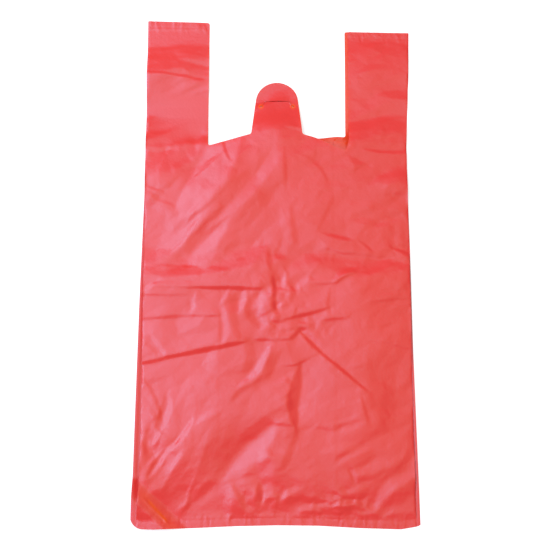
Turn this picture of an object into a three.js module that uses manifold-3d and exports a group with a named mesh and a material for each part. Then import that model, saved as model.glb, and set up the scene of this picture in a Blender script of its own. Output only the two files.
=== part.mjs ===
// A vest-style plastic carrier bag, lying flat on its back panel, in millimetres with +Z up.
// It is one piece of blown film: a tube tucked in at both sides, welded across the bottom and
// across the top of each handle, and die-cut to leave two handles, an open mouth and a hanging tab.
// The origin is on the table, under the middle of the bag. +Y runs from the bottom to the handles.
import * as THREE from "three";
import { mergeVertices } from "three/addons/utils/BufferGeometryUtils.js";
import Module from "manifold-3d";

const wasm = await Module();
wasm.setup();

// Driving dimensions
const bagLength = 530; // bottom edge to the tops of the handles
const bagWidth = 280; // across the flattened tube
const gussetDepth = 80; // from each outer fold in to the tuck's inner fold
const filmThickness = 0.025;
const loosePitch = 0.6; // spacing of the four plies along the folds of the loose bag
const pressedPitch = 0.1; // spacing of the plies where a weld holds them together
const crownHeight = 9; // how far trapped air lifts the middle of the front panel
const crownRise = 100; // length over which the front panel rises from the bottom weld
const crownFall = 122; // length over which it settles again, ending at the tip of the tab
const weldWidth = 2;
const bottomSkirt = 6; // loose film below the bottom weld
const handleSkirt = 5; // loose film above each handle weld
const weldRun = 25; // length over which the plies spread from pressed to loose
const handleWidth = 67;
const handleCornerRadius = 3;
const notchDepth = 142; // from the handle tops down to the outer corners of the mouth
const notchCornerRadius = 3;
const mouthRise = 12; // how much higher the mouth line stands at the tab than at the handles
const tabFootWidth = 54;
const tabFootRadius = 3;
const tabHeight = 59; // from the mouth line at the tab's foot to its tip
const tabTipRadius = 22.5;
const slitSpan = 34; // between the two stress-relief holes
const slitTopSpan = 26; // the straight cut along the top of the hanging slit
const slitRise = 6; // from the relief holes up to the straight cut
const slitCut = 0.6;
const slitHoleRadius = 1.5;
const slitBelowTip = 22; // from the tab's tip down to the straight cut

// How finely curves are divided
const foldSteps = 4;
const crownSteps = 7; // across half of the front panel
const riseSteps = 5;
const fallSteps = 6;
const arcSteps = 8;

// Places that follow from the sizes above, measured from the bottom edge
const bottomWeldTop = bottomSkirt + weldWidth;
const handleWeldTop = bagLength - handleSkirt;
const handleWeldFoot = handleWeldTop - weldWidth;
const mouthCornerY = bagLength - notchDepth;
const tabFootY = mouthCornerY + mouthRise;
const tabTipY = tabFootY + tabHeight;
const handleInnerX = bagWidth / 2 - handleWidth;
const cutterMargin = 10; // how far a cutter runs past the film it cuts

// How loose the bag is at a distance y up its length: 0 at the welds, 1 in the body
function looseness(y) {
  const { smoothstep } = THREE.MathUtils;
  const nearBottom = smoothstep(y, bottomWeldTop, bottomWeldTop + weldRun);
  const nearHandles = smoothstep(y, handleWeldFoot - weldRun, handleWeldFoot);
  return nearBottom * (1 - nearHandles);
}

// The share of the crown's height that the front panel has at y
function crownShare(y) {
  const { smoothstep } = THREE.MathUtils;
  const rise = smoothstep(y, bottomWeldTop, bottomWeldTop + crownRise);
  const fall = smoothstep(y, tabTipY - crownFall, tabTipY);
  return rise * (1 - fall);
}

// A half turn of film about (x, z), from below it to above it, bulging to the side given by turn
function foldPoints(x, z, radius, turn) {
  const points = [];
  for (let i = 0; i <= foldSteps; i++) {
    const angle = -Math.PI / 2 + (Math.PI * i) / foldSteps;
    points.push(new THREE.Vector2(x + turn * radius * Math.cos(angle), z + radius * Math.sin(angle)));
  }
  return points;
}

// The middle line of the film across the bag at y, as a closed loop of (x, z) points.
// Each side runs along the back panel, round its fold, into the tuck, out again, and over the front.
function sectionAt(y) {
  const pitch = THREE.MathUtils.lerp(pressedPitch, loosePitch, looseness(y));
  const backZ = filmThickness / 2;
  const frontZ = backZ + 3 * pitch;
  const outerX = bagWidth / 2 - filmThickness / 2 - pitch / 2;
  const innerX = bagWidth / 2 - gussetDepth + filmThickness / 2 + pitch / 2;
  const half = [
    ...foldPoints(outerX, backZ + pitch / 2, pitch / 2, 1),
    ...foldPoints(innerX, backZ + (3 * pitch) / 2, pitch / 2, -1),
    ...foldPoints(outerX, backZ + (5 * pitch) / 2, pitch / 2, 1),
  ];
  for (let i = 1; i < crownSteps; i++) {
    const share = 1 - i / crownSteps;
    const lift = crownHeight * crownShare(y) * (1 - share * share);
    half.push(new THREE.Vector2(share * outerX, frontZ + lift));
  }
  const top = new THREE.Vector2(0, frontZ + crownHeight * crownShare(y));
  const mirrored = half.map((p) => new THREE.Vector2(-p.x, p.y)).reverse();
  return [...half, top, ...mirrored];
}

// A closed loop moved sideways by a distance, to its right as it is walked
function offsetLoop(loop, distance) {
  return loop.map((point, i) => {
    const before = loop.at(i - 1);
    const after = loop[(i + 1) % loop.length];
    const sideIn = new THREE.Vector2(point.y - before.y, before.x - point.x).normalize();
    const sideOut = new THREE.Vector2(after.y - point.y, point.x - after.x).normalize();
    const mitre = sideIn.add(sideOut).normalize();
    return point.clone().addScaledVector(mitre, distance / mitre.dot(sideOut));
  });
}

// The distances along the bag at which its section is taken
function stations() {
  const list = [0, bottomSkirt, bottomWeldTop];
  for (let i = 1; i <= riseSteps; i++) {
    list.push(bottomWeldTop + (crownRise * i) / riseSteps);
  }
  for (let i = 0; i <= fallSteps; i++) {
    list.push(tabTipY - crownFall * (1 - i / fallSteps));
  }
  list.push(handleWeldFoot - weldRun, handleWeldFoot, handleWeldTop, bagLength);
  return list;
}

// The whole uncut tube of film: an outer and an inner skin, joined by a ring at each open end
function filmTube() {
  const rows = stations();
  const skins = rows.map((y) => {
    const middle = sectionAt(y);
    const place = (p) => [p.x, y, p.y];
    return [filmThickness / 2, -filmThickness / 2].map((d) => offsetLoop(middle, d).map(place));
  });
  const count = skins[0][0].length;
  const index = [];
  const vertex = (row, skin, i) => (row * 2 + skin) * count + (i % count);
  const quad = (a, b, c, d) => index.push(a, b, c, a, c, d);
  for (let i = 0; i < count; i++) {
    for (let row = 0; row + 1 < rows.length; row++) {
      quad(vertex(row, 0, i), vertex(row + 1, 0, i), vertex(row + 1, 0, i + 1), vertex(row, 0, i + 1));
      quad(vertex(row, 1, i), vertex(row, 1, i + 1), vertex(row + 1, 1, i + 1), vertex(row + 1, 1, i));
    }
    const last = rows.length - 1;
    quad(vertex(0, 0, i), vertex(0, 0, i + 1), vertex(0, 1, i + 1), vertex(0, 1, i));
    quad(vertex(last, 0, i), vertex(last, 1, i), vertex(last, 1, i + 1), vertex(last, 0, i + 1));
  }
  const geometry = new THREE.BufferGeometry();
  geometry.setAttribute("position", new THREE.Float32BufferAttribute(skins.flat(3), 3));
  geometry.setIndex(index);
  return geometry;
}

// A weld across the plies from y = foot, reaching to the middle of the outermost films
function weldBar(foot) {
  const width = bagWidth - filmThickness - pressedPitch;
  const height = 3 * pressedPitch;
  const bar = new THREE.BoxGeometry(width, weldWidth, height);
  return bar.translate(0, foot + weldWidth / 2, filmThickness / 2 + height / 2);
}

// Adds the rounded corner between two straight runs to a path
function roundCorner(path, before, corner, after, radius) {
  const toBefore = before.clone().sub(corner).normalize();
  const toAfter = after.clone().sub(corner).normalize();
  const halfAngle = Math.acos(toBefore.dot(toAfter)) / 2;
  const bisector = toBefore.clone().add(toAfter).normalize();
  const centre = corner.clone().addScaledVector(bisector, radius / Math.sin(halfAngle));
  const reach = radius / Math.tan(halfAngle);
  const from = corner.clone().addScaledVector(toBefore, reach).sub(centre);
  const to = corner.clone().addScaledVector(toAfter, reach).sub(centre);
  path.absarc(centre.x, centre.y, radius, from.angle(), to.angle(), from.cross(to) < 0);
}

// What the die removes between the handles, leaving the mouth line and the tab standing in it
function mouthShape() {
  const shape = new THREE.Shape();
  const tipCentre = new THREE.Vector2(0, tabTipY - tabTipRadius);
  const foot = new THREE.Vector2(tabFootWidth / 2, tabFootY);
  const fromTip = foot.clone().sub(tipCentre);
  const tangent = fromTip.angle() - 2 * Math.PI + Math.acos(tabTipRadius / fromTip.length());
  const side = new THREE.Vector2(Math.cos(tangent), Math.sin(tangent));
  const shoulder = tipCentre.clone().addScaledVector(side, tabTipRadius);
  const notch = new THREE.Vector2(handleInnerX, mouthCornerY);
  const handleTop = new THREE.Vector2(handleInnerX, bagLength);
  const mirror = (p) => new THREE.Vector2(-p.x, p.y);
  const above = bagLength + cutterMargin;
  const flare = handleInnerX + handleCornerRadius;
  const roundedY = bagLength - handleCornerRadius;

  shape.moveTo(-flare, above);
  shape.absarc(-flare, roundedY, handleCornerRadius, Math.PI / 2, 0, true);
  roundCorner(shape, mirror(handleTop), mirror(notch), mirror(foot), notchCornerRadius);
  roundCorner(shape, mirror(notch), mirror(foot), mirror(shoulder), tabFootRadius);
  shape.absarc(tipCentre.x, tipCentre.y, tabTipRadius, Math.PI - tangent, tangent, true);
  roundCorner(shape, shoulder, foot, notch, tabFootRadius);
  roundCorner(shape, foot, notch, handleTop, notchCornerRadius);
  shape.absarc(flare, roundedY, handleCornerRadius, Math.PI, Math.PI / 2, true);
  shape.lineTo(flare, above);
  shape.closePath();
  return shape;
}

// The hanging slit in the tab: a straight cut with a leg running down and out to each relief hole
function slitShapes() {
  const topY = tabTipY - slitBelowTip;
  const line = [
    new THREE.Vector2(-slitSpan / 2, topY - slitRise),
    new THREE.Vector2(-slitTopSpan / 2, topY),
    new THREE.Vector2(slitTopSpan / 2, topY),
    new THREE.Vector2(slitSpan / 2, topY - slitRise),
  ];
  const there = line.map((p) => p.clone().add(new THREE.Vector2(0, slitCut / 2)));
  const back = line.map((p) => p.clone().add(new THREE.Vector2(0, -slitCut / 2))).reverse();
  const holes = [line[0], line[3]].map((centre) => {
    const hole = new THREE.Shape();
    return hole.absarc(centre.x, centre.y, slitHoleRadius, 0, 2 * Math.PI, false);
  });
  return [new THREE.Shape([...there, ...back]), ...holes];
}

// A cutter straight down through every ply
function dieCutter(shape) {
  const tallest = filmThickness + 3 * loosePitch + crownHeight;
  const depth = tallest + 2 * cutterMargin;
  const options = { depth, bevelEnabled: false, curveSegments: arcSteps };
  return new THREE.ExtrudeGeometry(shape, options).translate(0, 0, -cutterMargin);
}

// A closed geometry as a solid that can be joined and cut
function solidOf(geometry) {
  geometry.deleteAttribute("normal");
  geometry.deleteAttribute("uv");
  const merged = mergeVertices(geometry, 1e-4);
  const vertProperties = merged.attributes.position.array;
  const triVerts = new Uint32Array(merged.index.array);
  return new wasm.Manifold(new wasm.Mesh({ numProp: 3, vertProperties, triVerts }));
}

// A solid as a geometry that can be drawn
function geometryOf(solid) {
  const { vertProperties, triVerts } = solid.getMesh();
  const geometry = new THREE.BufferGeometry();
  geometry.setAttribute("position", new THREE.BufferAttribute(vertProperties, 3));
  geometry.setIndex(new THREE.BufferAttribute(triVerts, 1));
  geometry.computeVertexNormals();
  return geometry;
}

// The welded and die-cut bag
function carrierBag() {
  let film = solidOf(filmTube());
  for (const foot of [bottomSkirt, handleWeldFoot]) {
    film = film.add(solidOf(weldBar(foot)));
  }
  for (const shape of [mouthShape(), ...slitShapes()]) {
    film = film.subtract(solidOf(dieCutter(shape)));
  }
  const redFilm = new THREE.MeshStandardMaterial({ color: 0xe8555a, roughness: 0.4, metalness: 0 });
  const bag = new THREE.Mesh(geometryOf(film), redFilm);
  bag.name = "carrier_bag";
  bag.position.y = -bagLength / 2;
  return bag;
}

const bagGroup = new THREE.Group();
bagGroup.add(carrierBag());
export default bagGroup;
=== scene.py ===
"""A vest-style plastic carrier bag of red blown film, laid out flat and seen from above.

The bag is one sheet of film. Its blank is the unrolled tube with the mouth and the tab die-cut in it.
The blank is meshed flat, folded into the gusseted tube, and its front panel is lifted by the creases
of a used bag. Lengths are in millimetres until the mesh is made. Across is measured from the bag's
middle line, and up from its bottom edge.
"""

import math
import random

import bpy
import numpy as np
from mathutils import Matrix, Vector
from mathutils.bvhtree import BVHTree
from mathutils.geometry import delaunay_2d_cdt
from mathutils.kdtree import KDTree


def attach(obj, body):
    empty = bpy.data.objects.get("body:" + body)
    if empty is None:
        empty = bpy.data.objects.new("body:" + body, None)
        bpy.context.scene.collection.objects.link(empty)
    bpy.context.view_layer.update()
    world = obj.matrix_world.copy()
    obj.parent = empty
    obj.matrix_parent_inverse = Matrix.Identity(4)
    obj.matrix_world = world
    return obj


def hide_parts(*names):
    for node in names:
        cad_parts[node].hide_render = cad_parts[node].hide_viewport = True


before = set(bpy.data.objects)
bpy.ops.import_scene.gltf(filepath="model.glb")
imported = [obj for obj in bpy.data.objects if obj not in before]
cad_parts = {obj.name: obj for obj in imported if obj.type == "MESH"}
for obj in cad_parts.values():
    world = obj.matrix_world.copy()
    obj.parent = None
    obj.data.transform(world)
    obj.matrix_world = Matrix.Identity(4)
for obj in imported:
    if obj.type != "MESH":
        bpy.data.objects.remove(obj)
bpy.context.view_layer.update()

MM_PER_METRE = 1000.0

# The bag's own sizes
BAG_LENGTH = 530.0
HALF_WIDTH = 140.0
GUSSET_DEPTH = 80.0
HANDLE_WIDTH = 67.0
NOTCH_DEPTH = 142.0
MOUTH_RISE = 12.0
TAB_FOOT_WIDTH = 54.0
TAB_HEIGHT = 59.0
TAB_TIP_RADIUS = 22.5
CUT_CORNER_RADIUS = 3.0
SLIT_SPAN = 34.0
SLIT_TOP_SPAN = 26.0
SLIT_RISE = 6.0
SLIT_CUT = 0.4
SLIT_HOLE_RADIUS = 0.8
SLIT_BELOW_TIP = 22.0
BOTTOM_SKIRT = 6.0
HANDLE_SKIRT = 6.0
WELD_WIDTH = 2.0

# Places that follow from them
INNER_FOLD = HALF_WIDTH - GUSSET_DEPTH
HANDLE_INNER = HALF_WIDTH - HANDLE_WIDTH
NOTCH_Y = BAG_LENGTH - NOTCH_DEPTH
TAB_FOOT_Y = NOTCH_Y + MOUTH_RISE
TAB_TIP_Y = TAB_FOOT_Y + TAB_HEIGHT
SLIT_Y = TAB_TIP_Y - SLIT_BELOW_TIP
FRONT_FOLD = HALF_WIDTH
TUCK_FOLD = FRONT_FOLD + GUSSET_DEPTH
BACK_FOLD = TUCK_FOLD + GUSSET_DEPTH
BACK_MIDDLE = BACK_FOLD + HALF_WIDTH

# How finely the film is meshed: distances between points, and points on a round stretch
FRONT_STEP = 1.6
WELD_STEP = 1.0
SLIT_STEP = 1.2
HIDDEN_STEP = 7.0
CORNER_STEP = 2.5
CUT_CORNER_POINTS = 5
TAB_TIP_POINTS = 20
SLIT_HOLE_POINTS = 10
SHARP_ANGLE = math.radians(70)

# Where the finer meshing ends: above the turned corner, and out from the back folds along the bottom
CORNER_TOP = 56.0
FINE_BOTTOM = 24.0

# Lines beside the back folds, so that the film bends round there
BACK_FOLD_STRIPS = (1.2, 2.4, 3.6, 5.0)

# A staggered grid's rows are this share of its step apart. A point closer to a line than the clear share
# of the step is left out.
HEX_ROW = 0.866
CLEAR_SHARE = 0.55

# How close points count as being on a line, and as one point
ON_LINE = 1e-3
MERGE_WITHIN = 1e-4

# Heights of the plies above the table, and of the air under the front panel
BACK_LEVEL = 0.15
BACK_FOLD_LEVEL = 1.4
BACK_HANDLE_LEVEL = 0.45
TUCK_LEVEL = 0.6
FRONT_FOLD_LEVEL = 1.3
BODY_AIR = 6.0
HANDLE_AIR = 5.0

# How the plies lie on each other: the strip over which the lower plies turn up to the back fold, and the
# clearances of plies that touch
STRIP_WIDTH = 5.0
PLY_GAP = 0.15
FOLD_OVER_TUCK = 0.2
CONTACT_SOFTNESS = 0.3
CONTACT_GIVE = 0.05

# The welds hold the plies down to a share of their height. From an edge inwards, that fades over the press
# band, the creases come in over the weld's reach, and the crimps end.
WELD_PRESS = 0.35
PRESS_BAND = (4.0, 45.0)
WELD_REACH = 14.0
HANDLE_WELD_REACH = 10.0
CRIMP_REACH = 18.0

# How far each ply goes with the back panel where the front slips over it: front, front tuck, back tuck, back
PLY_SHARES = (0.0, 0.6, 0.9)
BACK_SHARE = 1.0

# How the bag lies on the table: its right handle has slid down and its left one up, the tab has ridden up,
# and on the right the lip of the mouth has slipped off the plies under it
LAID_HALF_WIDTH = 142.0
RIGHT_HANDLE_DROP = 10.0
RIGHT_HANDLE_SKEW = 0.02
LEFT_HANDLE_RISE = 0.8
LEFT_HANDLE_SKEW = 0.03
TAB_RISE = 2.0
BACK_LIP_RISE = 9.5
FRONT_LIP_SLIP = 6.0
FRONT_LIP_DRIFT = 3.0

# The lower left corner is turned up along a slanting fold between two points, over a bend to each side of it
CORNER_FOLD = ((-140.0, 38.0), (-98.0, -2.0))
CORNER_BEND = 8.0
CORNER_RISE = 6.5

# The grid on which the creases are worked out, and how far a crease reaches before the film lies flat again
CREASES_LOW = (-HALF_WIDTH, -12.0)
CREASES_HIGH = (HALF_WIDTH, BAG_LENGTH + 2.0)
CREASE_STEP = 1.0
SETTLING_LENGTH = 70.0

# A band's slope fades out across its edges, over a share of its half width and a bit inside and outside.
# Steep bands are sharp folds and fade over less.
STEEP_TILT = 0.3
STEEP_FADE = 0.2
GENTLE_FADE = 0.45
FADE_INSIDE = 0.2
FADE_OUTSIDE = 0.4
BAND_MARGIN = 2.0

# A band that slants up to the left falls to the right if it rises more than this share of its run, and
# otherwise down
RIGHT_OVER_DOWN = 0.25

SEED = 11


def smooth_step(x, low, high):
    """0 up to low, 1 from high on, and a smooth rise between them."""
    t = np.clip((x - low) / (high - low), 0.0, 1.0)
    return t * t * (3.0 - 2.0 * t)


def between(x, rises_from, full_from, falls_from, gone_at):
    """1 along a stretch and 0 away from it, with smooth ends."""
    return smooth_step(x, rises_from, full_from) * (1 - smooth_step(x, falls_from, gone_at))


def bell(x, middle, spread):
    """1 in the middle, falling off smoothly over a spread to each side."""
    return np.exp(-(((x - middle) / spread) ** 2))


# The flat blank


def round_corner(before, corner, after, radius):
    """Points along the rounded corner between two straight cuts."""
    before, corner, after = (np.array(p, float) for p in (before, corner, after))
    to_before = (before - corner) / np.linalg.norm(before - corner)
    to_after = (after - corner) / np.linalg.norm(after - corner)
    reach = radius / math.tan(math.acos(float(to_before @ to_after)) / 2)
    t = np.linspace(0, 1, CUT_CORNER_POINTS)[:, None]
    start, end = corner + to_before * reach, corner + to_after * reach
    curve = (1 - t) ** 2 * start + 2 * t * (1 - t) * corner + t**2 * end
    return [tuple(p) for p in curve]


def divided(points, step):
    """A run of points with more put in, so that no two neighbours are further apart than step."""
    run = [points[0]]
    for a, b in zip(points, points[1:]):
        count = max(1, math.ceil(math.dist(a, b) / step))
        for i in range(1, count + 1):
            run.append((a[0] + (b[0] - a[0]) * i / count, a[1] + (b[1] - a[1]) * i / count))
    return run


def mouth_lip(across):
    """How far up the straight lip of the mouth lies, from the tab's foot out to the handle."""
    foot = TAB_FOOT_WIDTH / 2
    return TAB_FOOT_Y + (across - foot) * ((NOTCH_Y - TAB_FOOT_Y) / (HANDLE_INNER - foot))


def die_cut_half():
    """The cut edge of half a panel, from the tip of the tab out to the side fold."""
    centre_y = TAB_TIP_Y - TAB_TIP_RADIUS
    foot = (TAB_FOOT_WIDTH / 2, TAB_FOOT_Y)
    notch = (HANDLE_INNER, NOTCH_Y)
    handle_corner = (HANDLE_INNER, BAG_LENGTH)
    handle_outside = (HALF_WIDTH, BAG_LENGTH)
    to_foot = math.hypot(foot[0], foot[1] - centre_y)
    tangent = math.atan2(foot[1] - centre_y, foot[0]) + math.acos(TAB_TIP_RADIUS / to_foot)
    dome = [
        (TAB_TIP_RADIUS * math.cos(a), centre_y + TAB_TIP_RADIUS * math.sin(a))
        for a in np.linspace(math.pi / 2, tangent, TAB_TIP_POINTS)
    ]
    tuck_end = (INNER_FOLD, mouth_lip(INNER_FOLD))
    edge = dome + round_corner(dome[-1], foot, notch, CUT_CORNER_RADIUS) + [tuck_end]
    edge += round_corner(foot, notch, handle_corner, CUT_CORNER_RADIUS)
    edge += round_corner(notch, handle_corner, handle_outside, CUT_CORNER_RADIUS) + [handle_outside]
    return divided(edge, FRONT_STEP)


def blank_outline():
    """The unrolled tube's outline as (round, up) points. Round runs from the middle of the front panel."""
    panel = die_cut_half()
    tuck = [p for p in panel if p[0] >= INNER_FOLD - ON_LINE]
    top = list(panel)
    top += [(2 * HALF_WIDTH - x, y) for x, y in reversed(tuck)][1:]
    top += [(2 * GUSSET_DEPTH + x, y) for x, y in tuck][1:]
    top += [(BACK_MIDDLE - x, y) for x, y in reversed(panel)][1:]
    seam = divided([(BACK_MIDDLE, TAB_TIP_Y), (BACK_MIDDLE, 0)], HIDDEN_STEP)
    outer, inner = (BACK_FOLD + FINE_BOTTOM, 0), (BACK_FOLD - FINE_BOTTOM, 0)
    bottom = divided([(BACK_MIDDLE, 0), outer], HIDDEN_STEP)
    bottom += divided([outer, (BACK_FOLD, 0), inner], FRONT_STEP)[1:]
    bottom += divided([inner, (TUCK_FOLD, 0), (FRONT_FOLD, 0)], HIDDEN_STEP)[1:]
    bottom += divided([(FRONT_FOLD, 0), (0, 0)], WELD_STEP)[1:]
    half = top + seam[1:] + bottom[1:]
    return half + [(-x, y) for x, y in reversed(half)][1:-1]


def half_slit():
    """The right half of the hanging slit's narrow opening as (across, up) points: from the tab's middle line
    out along the upper lip, round the hole at the end of the leg and back along the lower lip."""
    top_half = SLIT_TOP_SPAN / 2
    hole_x, hole_y = SLIT_SPAN / 2, SLIT_Y - SLIT_RISE
    # the hole's rim is open where the leg comes in
    rim_start, rim_end = 2.6, -3.0
    hole = [
        (hole_x + SLIT_HOLE_RADIUS * math.cos(a), hole_y + SLIT_HOLE_RADIUS * math.sin(a))
        for a in np.linspace(rim_start, rim_end, SLIT_HOLE_POINTS)
    ]
    upper_y, lower_y = SLIT_Y + SLIT_CUT / 2, SLIT_Y - SLIT_CUT / 2
    upper = divided([(0.0, upper_y), (top_half, upper_y)], SLIT_STEP)
    lower = divided([(top_half, lower_y), (0.0, lower_y)], SLIT_STEP)
    return upper + hole + lower


def slit_outlines():
    """The hanging slit as cut in the blank: whole in the front, and a half at each of the blank's ends, which
    meet down the middle of the back."""
    half = half_slit()
    front = half + [(-x, y) for x, y in reversed(half[1:-1])]
    return [front, [(BACK_MIDDLE - x, y) for x, y in half], [(x - BACK_MIDDLE, y) for x, y in half]]


def hex_grid(low, high, step):
    """A staggered grid of points that fills a box."""
    points = []
    rows = int((high[1] - low[1]) / (step * HEX_ROW)) + 1
    for row in range(rows):
        shift = step / 2 if row % 2 else 0.0
        count = int((high[0] - low[0] - shift) / step) + 1
        points += [(low[0] + shift + i * step, low[1] + row * step * HEX_ROW) for i in range(count)]
    return points


def point_tree(points):
    """A tree that finds the nearest of some flat points."""
    tree = KDTree(len(points))
    for i, (x, y) in enumerate(points):
        tree.insert((x, y, 0), i)
    tree.balance()
    return tree


def inside(points, loop):
    """Which of the points lie inside a closed loop."""
    x, y = points[:, 0], points[:, 1]
    hit = np.zeros(len(points), bool)
    for (ax, ay), (bx, by) in zip(loop, loop[1:] + loop[:1]):
        if ay != by:
            hit ^= ((ay > y) != (by > y)) & (x < (bx - ax) * (y - ay) / (by - ay) + ax)
    return hit


def filling_points():
    """The points of the grids that fill the blank, each with its grid's step. The grids stop a little short
    of the edges, the side folds and each other."""
    off_edge, off_fold, off_field, hidden_start = 0.5, 2.0, 1.0, 3.0
    weld_top, handle_weld = WELD_REACH, BAG_LENGTH - WELD_REACH
    boxes = [
        ((-FRONT_FOLD, weld_top), (FRONT_FOLD, handle_weld - off_field), FRONT_STEP),
        ((-FRONT_FOLD, off_edge), (FRONT_FOLD, weld_top - off_field), WELD_STEP),
        ((-FRONT_FOLD, handle_weld), (-HANDLE_INNER, BAG_LENGTH - off_edge), WELD_STEP),
        ((HANDLE_INNER, handle_weld), (FRONT_FOLD, BAG_LENGTH - off_edge), WELD_STEP),
        ((FRONT_FOLD + off_fold, hidden_start), (BACK_MIDDLE - off_fold, BAG_LENGTH), HIDDEN_STEP),
        ((-BACK_MIDDLE + off_fold, off_field), (-FRONT_FOLD - off_fold, CORNER_TOP - off_field), CORNER_STEP),
        ((-BACK_MIDDLE + off_fold, CORNER_TOP), (-FRONT_FOLD - off_fold, BAG_LENGTH), HIDDEN_STEP),
    ]
    return [(point, step) for low, high, step in boxes for point in hex_grid(low, high, step)]


def flat_blank():
    """The blank as a flat triangle mesh: an array of (round, up) points and the triangles between them."""
    points, edges = [], []

    def add_run(run, closed=False):
        first = len(points)
        points.extend(run)
        edges.extend((first + i, first + i + 1) for i in range(len(run) - 1))
        if closed:
            edges.append((first + len(run) - 1, first))

    outline = blank_outline()
    add_run(outline, closed=True)
    slits = slit_outlines()
    for slit in slits:
        add_run(slit, closed=True)
    tuck_top = next(y for x, y in outline if abs(x - TUCK_FOLD) < ON_LINE and y > ON_LINE)
    strip_end = 2.0
    for side in (-1, 1):
        add_run(divided([(side * FRONT_FOLD, 0), (side * FRONT_FOLD, BAG_LENGTH)], FRONT_STEP))
        add_run(divided([(side * TUCK_FOLD, 0), (side * TUCK_FOLD, tuck_top)], HIDDEN_STEP))
        add_run(divided([(side * BACK_FOLD, 0), (side * BACK_FOLD, BAG_LENGTH)], 2 * FRONT_STEP))
        for inside_fold in BACK_FOLD_STRIPS:
            strip = side * (BACK_FOLD - inside_fold)
            add_run(divided([(strip, strip_end), (strip, BAG_LENGTH - strip_end)], HIDDEN_STEP))
    for level in (BOTTOM_SKIRT, BOTTOM_SKIRT + WELD_WIDTH):
        add_run(divided([(-FRONT_FOLD, level), (FRONT_FOLD, level)], WELD_STEP))

    lines = point_tree(points)
    for (x, y), step in filling_points():
        if lines.find((x, y, 0))[2] > CLEAR_SHARE * min(step, FRONT_STEP):
            points.append((x, y))

    loop = list(range(len(outline)))
    verts, _, faces, *_ = delaunay_2d_cdt([Vector(p) for p in points], edges, [loop], 1, MERGE_WITHIN)
    verts = np.array([(p.x, p.y) for p in verts])
    faces = np.array(faces)
    for slit in slits:
        faces = faces[~inside(verts[faces].mean(axis=1), slit)]
    return verts, faces


# The creases of the front panel

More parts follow.
